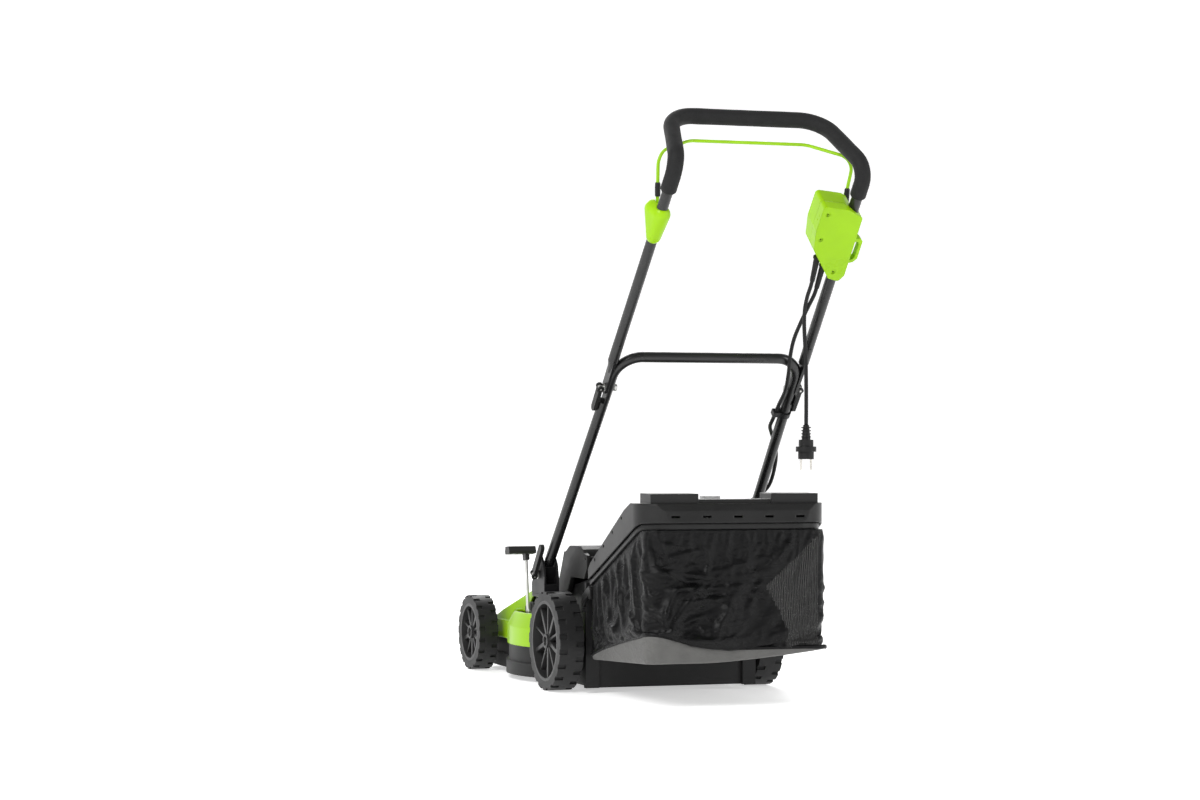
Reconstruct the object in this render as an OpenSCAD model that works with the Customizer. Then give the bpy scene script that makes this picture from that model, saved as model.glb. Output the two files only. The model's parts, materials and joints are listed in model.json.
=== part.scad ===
// Corded rotary lawn mower with a folding handle and a rear grass bag.
// Lengths are millimetres. +X is the operator's right, +Y the way it is pushed, +Z up.
// Sub-parts are drawn from the rear axle, and at_origin() moves them to the part's own origin.

/* [Wheels] */
// Distance between the front and rear axles
wheelbase = 470; // [466:1:474]
// Diameter of a rear wheel
rear_wheel_d = 180; // [176:1:182]
// Diameter of a front wheel
front_wheel_d = 146; // [142:1:150]
// Width of a rear wheel
rear_wheel_w = 46; // [42:1:46]
// Width of a front wheel
front_wheel_w = 38; // [34:1:38]
// Width over the outer faces of the wheels
track_w = 438; // [438:1:442]

/* [Deck] */
// Radius of the deck's skirt around the blade
skirt_r = 205; // [203:1:206]
// Height of the skirt's lower edge above the ground
skirt_z = 9; // [8:1:12]
// Distance from the rear axle to the front of the nose
nose_y = 552; // [548:1:556]
// Length of the cutting blade from tip to tip
blade_len = 372; // [360:2:374]

/* [Handle] */
// Angle that the handle leans back from vertical
lean = 41.2; // [41:0.1:42]
// Outer diameter of the handle tubes
tube_d = 19; // [19:0.1:19.2]
// Wall of the handle tubes
tube_wall = 1.4; // [1.2:0.1:1.6]
// Diameter over the foam grip
foam_d = 28; // [27:0.5:30]
// Diameter of the bail's rod
bail_d = 6; // [5:0.5:6]

/* [Grass bag] */
// Width of the bag's lid
lid_w = 350; // [340:2:352]
// Width of the fabric body
fabric_w = 336; // [324:2:336]
// Wall of the fabric body
fabric_t = 3; // [2.5:0.5:3]

/* [Cables] */
// Diameter of the mains and motor cables
cable_d = 7; // [6.5:0.1:7]

/* [Hidden] */
$fn = 64;
rear_r = rear_wheel_d / 2;
front_r = front_wheel_d / 2;
tube_r = tube_d / 2;
grip_y = -423.2;                       // the grip's crossbar
grip_z = 1015.6;
grip_back_y = -544.55;                 // the rearmost point of the grip's bends
mid_y = (nose_y + grip_back_y) / 2;
fold_y = 84.5;                         // the lower handle's hinge
fold_z = 207;
leg_x = 190;                           // the lower handle's legs at their hinge
mid_s = 459.3;                         // distance up the handle of the upper hinge
pivot_r = 3;                           // hinge bolts
run = 0.05;                            // radial clearance of a running fit
blade_y = 240;                         // the motor's axis
roof_z = 80;                           // top of the deck around the motor
chamber_r = 190;                       // inside radius of the blade chamber
console_w = 300;                       // width of the deck behind the blade chamber
rise = 35;                             // swing of the axle cranks each side of level
crank_r = 40;
arm_r = 15;                            // control arms on the axles
lever_arm_r = 25;                      // the height lever's short arm
rear_link_x = 155.5;                   // planes of the link rods
front_link_x = 149;
rear_pivot = [crank_r * cos(rise), rear_r - crank_r * sin(rise)];
front_pivot = [wheelbase + crank_r * cos(rise), front_r - crank_r * sin(rise)];
lever_pivot = [235, 126];
lever_x = 172;
rear_pin = rear_pivot + arm_r * [sin(rise), cos(rise)];
front_pin = front_pivot + arm_r * [sin(rise), cos(rise)];
lever_pin = lever_pivot + lever_arm_r * [sin(20), -cos(20)];
flap_hinge = [-50, 241];
flap_slope = 14;                       // slope of the flap where it rests on the bag
bail_pivot = [-455.5, 857.3];
mains_route = [[143, -383, 740], [144, -373, 729], [143, -362, 713], [142, -354, 692],
    [143, -349, 668], [145, -347, 640], [147, -347, 608], [148, -347, 570],
    [148, -348, 530], [148, -348, 488]];
motor_route = [[156, -372.5, 728.4], [155, -364, 716], [151, -348, 696], [146, -326, 668],
    [143, -304, 640], [144, -286, 612], [149, -266, 580], on_handle(155, 470, -17),
    on_handle(160, 426, -3), on_handle(160.5, 401, 0), on_handle(161.5, 380, 4),
    on_handle(165.5, 358, 12), on_handle(176, 337, 17.5), on_handle(187.5, 315, 16),
    on_handle(196, 290, 9.5), on_handle(199.5, 258, 4.5), on_handle(200, 225, 3),
    on_handle(197.5, 200, 9), on_handle(189, 178, 16), on_handle(177, 160, 18),
    on_handle(165.5, 142, 16), on_handle(157, 124, 13), on_handle(151, 106, 10.5),
    [147, 30.5, 281], [144.5, 36.5, 269], [144, 38.6, 257.5]];

// ---------- helpers ----------

function unit(v) = v / norm(v);
function leg_at(s) = leg_x - 17 * s / 530;
// A point from handle coordinates: x, distance up the legs, distance out of their front
function on_handle(x, s, out = 0) = [x,
    fold_y - s * sin(lean) + out * cos(lean), fold_z + s * cos(lean) + out * sin(lean)];

module at_origin() translate([0, -mid_y, 0]) children();

// Moves a shape drawn with +Y up the legs and +Z out of their front
module handle_frame() translate([0, fold_y, fold_z]) rotate([90 + lean, 0, 0])
    mirror([0, 0, 1]) children();

module both_sides() for (side = [0, 1]) mirror([side, 0, 0]) children();

// Extrudes an outline drawn in Y and Z along X, from x0 to x1
module along_x(x0, x1) translate([x0, 0, 0]) rotate([90, 0, 90])
    linear_extrude(x1 - x0) children();

// A cylinder along X at y, z
module pin_x(x0, x1, p, r) translate([x0, p[0], p[1]]) rotate([0, 90, 0])
    cylinder(h = x1 - x0, r = r);

// A straight round rod between two points
module rod(a, b, r) {
    v = b - a;
    translate(a) rotate([0, acos(v[2] / norm(v)), atan2(v[1], v[0])])
        cylinder(h = norm(v), r = r);
}

// How far a bend of radius bend starts from its corner
function bend_trim(p, q, s, bend) =
    bend * tan((180 - acos(unit(p - q) * unit(s - q))) / 2);

// A round rod through points, with a true circular bend at each inner point
module bent_rod(pts, bends, r) {
    n = len(pts);
    lap = 1;
    trims = [for (i = [0:n - 1]) i == 0 || i == n - 1 ? 0
        : bend_trim(pts[i - 1], pts[i], pts[i + 1], bends[i - 1])];
    for (i = [0:n - 2])
        rod(pts[i] + unit(pts[i + 1] - pts[i]) * max(trims[i] - lap, 0),
            pts[i + 1] - unit(pts[i + 1] - pts[i]) * max(trims[i + 1] - lap, 0), r);
    for (i = [1:n - 2]) {
        u = unit(pts[i - 1] - pts[i]);
        v = unit(pts[i + 1] - pts[i]);
        c = pts[i] + unit(u + v) * norm([bends[i - 1], trims[i]]);
        e1 = unit(pts[i] + u * trims[i] - c);
        e3 = cross(e1, -u);
        multmatrix([[e1[0], -u[0], e3[0], c[0]], [e1[1], -u[1], e3[1], c[1]],
            [e1[2], -u[2], e3[2], c[2]]])
            rotate_extrude(angle = 180 - acos(u * v)) translate([bends[i - 1], 0])
                circle(r - 0.06);
    }
}

// A point of the smooth curve through a route's points, t from 0 to its last index
function route_at(pts, t) =
    let (i = min(floor(t), len(pts) - 2), f = t - i,
        p = pts[max(i - 1, 0)], q = pts[i], s = pts[i + 1], e = pts[min(i + 2, len(pts) - 1)])
    0.5 * (2 * q + (s - p) * f + (2 * p - 5 * q + 4 * s - e) * f * f
        + (3 * q - p - 3 * s + e) * f * f * f);

// A cable: one tube of 8 sides with rings equally spaced along its route
module cable(pts, rings) {
    sides = 8;
    last = len(pts) - 1;
    at = [for (i = [0:rings]) route_at(pts, last * i / rings)];
    dir = [for (i = [0:rings]) unit(at[min(i + 1, rings)] - at[max(i - 1, 0)])];
    ring = [for (i = [0:rings])
        let (side = unit(cross(dir[i], [0, 0.8, 0.6])), up = cross(side, dir[i]))
        for (k = [0:sides - 1])
            at[i] + cable_d / 2 * (side * cos(360 * k / sides) + up * sin(360 * k / sides))];
    walls = [for (i = [0:rings - 1], k = [0:sides - 1])
        let (a = i * sides, m = (k + 1) % sides) [a + k, a + m, a + sides + m, a + sides + k]];
    ends = [[for (k = [0:sides - 1]) sides - 1 - k],
        [for (k = [0:sides - 1]) rings * sides + k]];
    polyhedron(points = ring, faces = concat(walls, ends));
}

// A rectangle of width 2 * w from y0 to y1 with its front corners rounded
module nose_plan(w, y0, y1, r) {
    translate([-w, y0]) square([2 * w, y1 - y0 - r]);
    translate([-w + r, y1 - r - 1]) square([2 * (w - r), r + 1]);
    for (side = [-1, 1]) translate([side * (w - r), y1 - r]) circle(r);
}

// ---------- deck ----------

// The deck's outline seen from above, pulled in by inset
module deck_plan(inset) {
    translate([0, blade_y]) circle(skirt_r - inset, $fn = 128);
    nose_plan(166 - inset, blade_y, nose_y - 4 - inset, 46);
    translate([-console_w / 2, -72]) square([console_w, blade_y + 72]);
}

module deck_housing() color([0.07, 0.07, 0.07]) difference() {
    union() {
        translate([0, 0, skirt_z]) linear_extrude(25.01) deck_plan(0);
        translate([0, 0, skirt_z + 25]) linear_extrude(31.01) deck_plan(5);
        translate([0, 0, skirt_z + 56]) linear_extrude(roof_z - skirt_z - 56) deck_plan(8);
        // duct that carries the clippings up to the bag
        along_x(-console_w / 2 + 4, console_w / 2 - 4) polygon([[-72, 60], [150, 60],
            [150, 88], [118, 140], [40, 190], [-72, 210]]);
        // columns on both sides of the mouth, with pegs for the bag's arms
        both_sides() translate([140, -78, skirt_z]) cube([25.9, 10, 191]);
        both_sides() pin_x(160, 172, [-73, 151], 4);
        translate([0, blade_y, roof_z - 1]) cylinder(h = 17, r = 84);
    }
    translate([0, blade_y, 0]) cylinder(h = roof_z - 4, r = chamber_r);
    // inside of the duct
    along_x(-138, 138) polygon([[-90, 76], [110, 76], [110, 92], [102, 122], [36, 182],
        [-90, 203]]);
    translate([-138, 60, 40]) cube([276, 60, 40]);
    // hollow under the duct's floor and in the nose
    translate([-144, -64, 0]) cube([288, 98, 72.5]);
    translate([0, 0, -1]) linear_extrude(37) difference() {
        translate([-144, 30]) square([288, 110]);
        translate([0, blade_y]) circle(chamber_r + 6, $fn = 128);
    }
    translate([0, 0, -1]) linear_extrude(roof_z - 3) intersection() {
        nose_plan(156, 300, nose_y - 14, 40);
        difference() {
            translate([-200, 380]) square([400, 200]);
            translate([0, blade_y]) circle(chamber_r + 6, $fn = 128);
        }
    }
    // slot that the front link rod comes down through
    translate([-154.6, 366, 56]) cube([9, 152, 44]);
    translate([-154.6, 352, 77.6]) cube([9, 16, 20]);
    // bores for the axles, the motor and its screws
    pin_x(-200, 200, rear_pivot, 5 + run);
    pin_x(-200, 200, front_pivot, 5 + run);
    translate([0, blade_y, 70]) cylinder(h = 60, r = 25);
    for (a = [45:90:315]) translate([68 * cos(a), blade_y + 68 * sin(a), 70])
        cylinder(h = 60, r = 2.2);
}

// The green cowl over the deck: a bulge around the blade, a step and a sloping nose
module cowl_shape(t) {
    translate([0, blade_y, 0]) rotate_extrude($fn = 128) polygon([[0, 65.2],
        [203 - t, 65.2], [203 - t, 100 - t], [190 - t, 127 - t], [0, 127 - t]]);
    intersection() {
        along_x(-190, 190) polygon([[126, 64], [126, 176 - t], [150, 182 - t],
            [230, 172 - t], [330, 146 - t], [430, 120 - t], [520, 92 - t], [546 - t, 78 - t],
            [nose_y + 2 - t, 64]]);
        translate([0, 0, 65.2]) linear_extrude(200)
            nose_plan(160 - t, 100, nose_y - t, 70 - t);
    }
    translate([0, 0, 65.2]) linear_extrude(34.8 - t)
        nose_plan(165.5 - t, 300, nose_y - t, 48 - t);
}

module deck_cowl() color([0.47, 0.8, 0.1]) difference() {
    cowl_shape(0);
    translate([0, 0, -0.1]) cowl_shape(3.5);
    translate([-210, -20, 50]) cube([420, 128, 85]);
    // room for the duct, the motor hood and the height lever's stem
    along_x(-console_w / 2 + 3, console_w / 2 - 3) polygon([[100, 50], [151, 50], [151, 90],
        [119, 142], [60, 190], [100, 220]]);
    translate([0, blade_y, 90]) linear_extrude(120) hood_plan(0.4);
    translate([-lever_x - 14, 202, 100]) cube([26, 112, 40]);
    pin_x(-166, -153, lever_pivot, 32);
    // doorway for the rear link rod
    translate([-162, 100, 76]) cube([12, 24, 22]);
}

module hood_plan(grow) {
    circle(98 + grow, $fn = 96);
    translate([-70 - grow, -98 - grow]) square([140 + 2 * grow, 98]);
}

module motor_hood() color([0.06, 0.06, 0.06]) translate([0, blade_y, 0]) difference() {
    union() {
        translate([0, 0, 102]) linear_extrude(106) hood_plan(0);
        translate([0, 0, 207.9]) cylinder(h = 26, r1 = 98, r2 = 70, $fn = 96);
    }
    translate([0, 0, 100]) linear_extrude(105) hood_plan(-3);
    translate([0, 0, 204.9]) cylinder(h = 26, r1 = 95, r2 = 67, $fn = 96);
    // cooling slots around the front
    for (a = [20:14:160]) rotate([0, 0, a]) translate([80, -2.5, 214]) cube([20, 5, 8]);
    for (a = [-10:10:190]) rotate([0, 0, a]) translate([90, -2, 186]) cube([20, 4, 16]);
}

// The raised housing that joins the handle brackets and carries the flap
module rear_console() color([0.05, 0.05, 0.05]) difference() {
    union() {
        along_x(-158, 158) polygon([[-44, 212], [-44, 244], [-36, 258], [-20, 264], [38, 262],
            [62, 250], [88, 214], [100, 188], [100, 170], [84, 170], [62, 200]]);
        // shelves that the handle brackets stand on
        both_sides() translate([148, 56, 165]) cube([55, 66, 7]);
        // gland where the motor cable comes in
        translate([144, 38.6, 258]) cylinder(h = 7, r = 7.5);
        both_sides() along_x(150, 158) polygon([[-58, 226], [-58, 248], [-44, 252], [70, 250],
            [112, 172], [112, 165], [56, 165], [30, 205], [-44, 205]]);
    }
    along_x(-150, 150) polygon([[-50, 205], [-50, 232], [-38, 232], [-32, 250], [-18, 259],
        [36, 257], [58, 245], [84, 210], [96, 180], [110, 160], [60, 165], [36, 193],
        [-20, 206]]);
    // the flap's hinge and the motor cable's way in
    pin_x(-170, 170, flap_hinge, 2.5 + run);
    along_x(-151, 151) translate([-58, 228]) square([20, 30]);
    translate([144, 38.6, 250]) cylinder(h = 20, r = 4.6);
}

module handle_bracket() difference() {
    union() {
        for (x = [[175.6, 178.8], [200.6, 204.4]]) along_x(x[0], x[1]) polygon([[120, 172.2],
            [120, 190], [98, 214], [72.4, 240], [66, 241], [53, 226], [46, 202], [46, 172.2]]);
        translate([175.6, 46, 172.2]) cube([28.8, 74, 18]);
        // the stop behind the leg
        along_x(175.6, 204.4) polygon([for (c = [[4, -10.4], [30, -10.4], [32, -14],
            [-6, -24], [-14, -18]]) [on_handle(0, c[0], c[1])[1], on_handle(0, c[0], c[1])[2]]]);
    }
    pin_x(160, 220, [fold_y, fold_z], pivot_r);
    // pockets in the base
    for (y = [52, 94]) translate([181, y, 171]) cube([18, 22, 14]);
}

module handle_bracket_left() color([0.06, 0.06, 0.06]) mirror([1, 0, 0]) handle_bracket();
module handle_bracket_right() color([0.06, 0.06, 0.06]) handle_bracket();

// A bolt with a hexagon head and an eye for a cam lever's pin
module cam_bolt(head_x, seat_x, eye_x) {
    rotate([0, 90, 0]) {
        translate([0, 0, head_x]) cylinder(h = 5, r = 6.2, $fn = 6);
        translate([0, 0, head_x + 4.9]) cylinder(h = eye_x - head_x - 4.9, r = pivot_r);
        translate([0, 0, seat_x]) difference() {
            cylinder(h = 1, r = 8);
            translate([0, 0, -1]) cylinder(h = 3, r = pivot_r + 0.2);
        }
    }
    translate([eye_x, 0, -3.2]) cylinder(h = 6.4, r = 4);
    translate([eye_x, 0, -7.4]) cylinder(h = 14.8, r = 2);
}

module fold_bolts() color("silver") both_sides() handle_frame()
    cam_bolt(170.3, 204.5, 212);

// A cam lever beside its bolt's eye: fork, cam and a ribbed handle of length reach
module cam_lever(eye_x, reach) difference() {
    union() {
        translate([eye_x, 0, -7.2]) cylinder(h = 14.4, r = 5.9);
        translate([eye_x - 3.5, 3, -7.2]) cube([7, reach - 10, 14.4]);
        translate([eye_x + 3.5 - 7, reach - 7, 0]) rotate([0, 90, 0])
            cylinder(h = 7, r = 7.2);
    }
    translate([eye_x - 8, -8, -3.6]) cube([16, 16.5, 7.2]);
    translate([eye_x, 0, -10]) cylinder(h = 20, r = 2 + run);
    translate([eye_x - 4, 16, -4.5]) cube([3.4, reach - 26, 9]);
}

module low_lever() handle_frame() cam_lever(212, 74);
module mid_lever() handle_frame() translate([0, mid_s, 0]) mirror([0, 1, 0])
    cam_lever(191, 52);
module cam_lever_low_left() color([0.1, 0.1, 0.1]) mirror([1, 0, 0]) low_lever();
module cam_lever_low_right() color([0.1, 0.1, 0.1]) low_lever();
module cam_lever_mid_left() color([0.1, 0.1, 0.1]) mirror([1, 0, 0]) mid_lever();
module cam_lever_mid_right() color([0.1, 0.1, 0.1]) mid_lever();

// ---------- motor ----------

module motor_can() color([0.35, 0.35, 0.37]) translate([0, blade_y, 0]) difference() {
    union() {
        translate([0, 0, 96.2]) cylinder(h = 84, r = 60);
        translate([0, 0, 96.2]) cylinder(h = 5, r = 80);
        translate([0, 0, 180.1]) cylinder(h = 14, r = 18);
    }
    translate([0, 0, 104]) cylinder(h = 72, r = 56.5);
    translate([0, 0, 90]) cylinder(h = 120, r = 6.5);
    translate([0, 0, 90]) cylinder(h = 15, r = 14);
    translate([0, 0, 172]) cylinder(h = 14, r = 14);
    for (a = [45:90:315]) rotate([0, 0, a]) translate([68, 0, 90]) cylinder(h = 20, r = 2.7);
    for (a = [0:30:330]) rotate([0, 0, a]) translate([40, -3, 174]) cube([12, 6, 10]);
}

module motor_stator() color([0.6, 0.35, 0.2]) translate([0, blade_y, 0]) difference() {
    union() {
        translate([0, 0, 116]) cylinder(h = 40, r = 56.3);
        translate([0, 0, 106]) cylinder(h = 60, r = 50);
    }
    translate([0, 0, 100]) cylinder(h = 70, r = 33);
    translate([0, 0, 100]) cylinder(h = 16, r = 38);
    translate([0, 0, 156]) cylinder(h = 16, r = 38);
}

module motor_bearings() color("silver") translate([0, blade_y, 0])
    for (z = [96.4, 176.2]) translate([0, 0, z]) difference() {
        cylinder(h = 8, r = 13.8);
        translate([0, 0, -1]) cylinder(h = 10, r = 6 + run);
    }

module rotor_shaft() color("silver") translate([0, blade_y, 0]) {
    translate([0, 0, 47]) cylinder(h = 141, r = 6);
    translate([0, 0, 107]) cylinder(h = 66, r = 8);
}

module rotor_core() color([0.45, 0.45, 0.47]) translate([0, blade_y, 116]) difference() {
    cylinder(h = 40, r = 32);
    translate([0, 0, -1]) cylinder(h = 42, r = 8);
}

module cooling_fan() color([0.2, 0.2, 0.2]) translate([0, blade_y, 61]) difference() {
    union() {
        cylinder(h = 10, r = 12);
        cylinder(h = 2, r = 66);
        for (a = [0:40:320]) rotate([0, 0, a]) translate([11, -1, 1]) cube([54, 2, 9]);
    }
    translate([0, 0, -1]) cylinder(h = 12, r = 6);
}

module blade_holder() color([0.25, 0.25, 0.25]) translate([0, blade_y, 0]) difference() {
    union() {
        translate([0, 0, 40]) cylinder(h = 6, r = 34);
        translate([0, 0, 45.9]) cylinder(h = 15, r = 14);
    }
    translate([0, 0, 47]) cylinder(h = 20, r = 6);
    translate([0, 0, 30]) cylinder(h = 20, r = 4.2);
}

module blade() color([0.55, 0.56, 0.58]) translate([0, blade_y, 36]) difference() {
    union() {
        intersection() {
            translate([-blade_len / 2, -24, 0]) cube([blade_len, 48, 3.8]);
            cylinder(h = 10, r = blade_len / 2);
        }
        // lifting wings at the trailing edges
        for (a = [0, 180]) rotate([0, 0, a]) along_x(118, 168)
            polygon([[14, 0.5], [24, 10], [26, 8], [20, 0]]);
    }
    translate([0, 0, -1]) cylinder(h = 8, r = 4.2);
    // ground cutting edges
    for (a = [0, 180]) rotate([0, 0, a]) along_x(96, 200)
        polygon([[-24.1, -0.1], [-24.1, 2.6], [-16, -0.1]]);
}

module blade_bolt() color("silver") translate([0, blade_y, 0]) {
    translate([0, 0, 27]) cylinder(h = 6.01, r = 8, $fn = 6);
    translate([0, 0, 33]) cylinder(h = 2.8, r = 15);
    translate([0, 0, 35]) cylinder(h = 11.9, r = 4);
}

module deck_screws() color("silver") translate([0, blade_y, 0])
    for (a = [45:90:315]) rotate([0, 0, a]) translate([68, 0, 0]) {
        translate([0, 0, 101.3]) cylinder(h = 4, r = 5);
        translate([0, 0, 78]) cylinder(h = 23.4, r = 2);
    }

// ---------- height adjuster ----------

module height_rack() color([0.08, 0.08, 0.08]) difference() {
    along_x(-168.5, -162.5) polygon([[205, roof_z + 0.2], [290, roof_z + 0.2], [290, 108],
        [268, 112], [268, 136], [247, 146], [222, 146], [205, 128]]);
    pin_x(-170, -160, lever_pivot, 5 + run);
    // notches that the stem's spring rests in
    for (a = [0:10:40]) translate([-170, lever_pivot[0] + 23 * sin(8 + a),
        lever_pivot[1] + 23 * cos(8 + a)]) rotate([0, 90, 0]) cylinder(h = 10, r = 1.5);
}

module height_lever() color([0.7, 0.7, 0.72]) {
    // stem outside the rack, leaning a little forward
    translate([0, lever_pivot[0], lever_pivot[1]]) rotate([-8, 0, 0]) {
        translate([-lever_x - 3, -6, 0]) cube([3, 12, 112]);
        pin_x(-lever_x - 3, -lever_x, [0, 0], 9);
    }
    pin_x(-lever_x - 1, -159, lever_pivot, 5);
    pin_x(-160.3, -157.4, lever_pivot, 8);
    pin_x(-160.3, -157.4, lever_pin, 5.5);
    translate([0, lever_pivot[0], lever_pivot[1]]) rotate([20, 0, 0])
        translate([-160.3, -4, -lever_arm_r]) cube([2.9, 8, lever_arm_r]);
    pin_x(-159, -front_link_x + 3, lever_pin, 2.5);
}

module height_knob() color([0.05, 0.05, 0.05])
    translate([0, lever_pivot[0], lever_pivot[1]]) rotate([-8, 0, 0]) difference() {
        union() {
            along_x(-211, -157) polygon([[-12, 112], [-14, 117], [-10, 126], [10, 127],
                [14, 118], [12, 112]]);
            translate([-lever_x - 5.5, -9, 100]) cube([8, 18, 13]);
        }
        translate([-lever_x - 3, -6, 90]) cube([3, 12, 22]);
        for (x = [-206, -194, -164]) translate([x, -8, 110]) cube([5, 16, 10]);
    }

// A strap at -x between pins a and b, with an upright slot at b
module link_rod(x, a, b, slot) difference() {
    union() {
        pin_x(-x - 1.2, -x + 1.5, a, 5);
        pin_x(-x - 1.2, -x + 1.5, b - [0, 2], 8.4);
        translate([-x - 1.2, a[0], a[1]]) rotate([atan2(b[1] - a[1], b[0] - a[0]), 0, 0])
            translate([0, 0, -3]) cube([2.7, norm(b - a), 6]);
    }
    pin_x(-170, -140, a, 2.5 + run);
    for (z = slot) pin_x(-170, -140, b + [0, z], 3);
    translate([-170, b[0] - 3, b[1] + slot[0]]) cube([30, 6, slot[1] - slot[0]]);
}

module link_rod_rear() color([0.5, 0.5, 0.52])
    link_rod(rear_link_x, rear_pin, lever_pin, [-4.7, 0.7]);
module link_rod_front() color([0.5, 0.5, 0.52])
    link_rod(front_link_x, front_pin, lever_pin, [-4.7, 0.7]);

// ---------- axles and wheels ----------

// A bar with a crank and stub at each end, and a control arm for its link rod
module axle(pivot, hub_y, hub_z, crank_x, link_x, stub_x, pin) {
    bar_x = link_x + 4.4;
    ends = [for (side = [-1, 1], x = side < 0 ? [stub_x, crank_x] : [crank_x, stub_x])
        [side * x, hub_y, hub_z]];
    bar = [for (side = [-1, 1]) [side * crank_x, pivot[0], pivot[1]]];
    bent_rod([ends[0], ends[1], bar[0], bar[1], ends[2], ends[3]], [8, 8, 8, 8], 5);
    // washers and lock nuts
    both_sides() pin_x(stub_x - 3, stub_x + 3, [hub_y, hub_z], 8);
    pin_x(-bar_x, -bar_x + 2.9, pivot, 8);
    pin_x(-bar_x, -bar_x + 2.9, pin, 5.5);
    translate([0, pivot[0], pivot[1]]) rotate([-rise, 0, 0])
        translate([0.2 - bar_x, -4, 0]) cube([2.5, 8, arm_r]);
    pin_x(-bar_x + 1, -link_x + 3, pin, 2.5);
}

module rear_axle() color([0.6, 0.6, 0.62])
    axle(rear_pivot, 0, rear_r, 164, rear_link_x, 210, rear_pin);
module front_axle() color([0.6, 0.6, 0.62])
    axle(front_pivot, wheelbase, front_r, 172, front_link_x, 210, front_pin);

// A wheel's rim and spokes along +X from its inner face
module wheel(r, w) {
    spokes = 10;
    rim = r - 17;
    rotate([0, 90, 0]) difference() {
        union() {
            difference() {
                cylinder(h = w, r = rim, $fn = 96);
                translate([0, 0, -1]) cylinder(h = w + 2, r = rim - 5, $fn = 96);
            }
            cylinder(h = w - 1, r = 13);
            translate([0, 0, 12]) cylinder(h = 3, r = rim - 1, $fn = 96);
            for (i = [0:spokes - 1]) rotate([0, 0, 360 * i / spokes])
                translate([10, i % 2 ? -2 : -3.5, 14]) cube([rim - 12, i % 2 ? 4 : 7, w - 20]);
        }
        translate([0, 0, -1]) cylinder(h = w + 2, r = 5 + run);
        translate([0, 0, w - 13]) cylinder(h = 14, r = 9);
        // windows in the web
        for (i = [0:spokes - 1]) rotate([0, 0, 360 * (i + 0.5) / spokes])
            translate([(rim + 9) / 2, 0, 10]) cylinder(h = 8, r = rim * 0.1);
    }
}

// The tread: a thick ring with notches cut into both shoulders
module tyre(r, w) {
    lugs = 20;
    rotate([0, 90, 0]) difference() {
        cylinder(h = w, r = r, $fn = 96);
        translate([0, 0, -1]) cylinder(h = w + 2, r = r - 16.9, $fn = 96);
        for (i = [0:lugs - 1], end = [0, 1]) rotate([0, 0, (i + end / 2) * 360 / lugs])
            translate([r - 3.5, -r * 0.055, end ? w * 0.68 : -1])
                cube([9, r * 0.11, w * 0.32 + 1]);
    }
}

module rear_place() translate([track_w / 2 - rear_wheel_w, 0, rear_r]) children();
module front_place() translate([track_w / 2 - front_wheel_w, wheelbase, front_r]) children();
module wheel_rear_right() color([0.13, 0.13, 0.13]) rear_place() wheel(rear_r, rear_wheel_w);
module wheel_rear_left() mirror([1, 0, 0]) wheel_rear_right();
module wheel_front_right() color([0.13, 0.13, 0.13])
    front_place() wheel(front_r, front_wheel_w);
module wheel_front_left() mirror([1, 0, 0]) wheel_front_right();
module tyre_rear_right() color([0.1, 0.1, 0.1]) rear_place() tyre(rear_r, rear_wheel_w);
module tyre_rear_left() mirror([1, 0, 0]) tyre_rear_right();
module tyre_front_right() color([0.1, 0.1, 0.1]) front_place() tyre(front_r, front_wheel_w);
module tyre_front_left() mirror([1, 0, 0]) tyre_front_right();

// ---------- flap and grass bag ----------

// Lies on the slope of the bag's lid, hinged on the console
module rear_flap() color([0.06, 0.06, 0.06]) translate([0, flap_hinge[0], flap_hinge[1]]) {
    rotate([180 - flap_slope, 0, 0]) {
        translate([-148, 8, -2]) cube([296, 127, 4]);
        for (x = [-140:35:140]) translate([x - 1.5, 9, -6]) cube([3, 116, 5]);
        for (x = [-149, -44, 38, 143]) translate([x + 0.5, 3, -1.8]) cube([5, 7, 3.6]);
    }
    for (x = [-149, -44, 38, 143]) pin_x(x, x + 6, [0, 0], 5);
    pin_x(-155, 155, [0, 0], 2.5);
}

lid_side = [[-114, 208], [-112, 226], [-124, 238], [-300, 339], [-332, 352], [-392, 352],
    [-398, 340], [-400, 319], [-366, 317]];

// The lid's outline seen from above, pulled in by inset
module lid_plan(inset) {
    w = lid_w / 2 - inset;
    translate([-w, -345]) square([2 * w, 345 - 100]);
    translate([-w + 55, -400 + inset]) square([2 * (w - 55), 60]);
    for (side = [-1, 1]) translate([side * (w - 55), -345 + inset]) circle(55);
}

module bag_lid() color([0.07, 0.07, 0.07]) difference() {
    union() {
        intersection() {
            along_x(-lid_w / 2, lid_w / 2) polygon(lid_side);
            linear_extrude(500) lid_plan(0);
        }
        // the two raised lobes and the bar between them
        for (side = [-1, 1]) translate([side * 112, -356, 350]) linear_extrude(19)
            square([88, 52], center = true);
        translate([-70, -378, 350]) cube([140, 34, 9]);
    }
    intersection() {
        along_x(-lid_w / 2 + 3, lid_w / 2 - 3) polygon([[-100, 200], [-100, 222], [-126, 234],
            [-300, 334.5], [-333, 348], [-390, 348], [-395, 338], [-397, 310], [-364, 310]]);
        linear_extrude(500) lid_plan(3);
    }
    // clip holes along the sides and the rear
    for (i = [0:3]) translate([-200, -290 + 46 * i, 322 - 26.5 * i]) cube([400, 5, 5]);
    for (i = [-2:2]) translate([58 * i - 8, -410, 328]) cube([16, 20, 3.5]);
    // window for the fill indicator
    translate([-44, -340, 330]) cube([42, 34, 40]);
}

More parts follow.
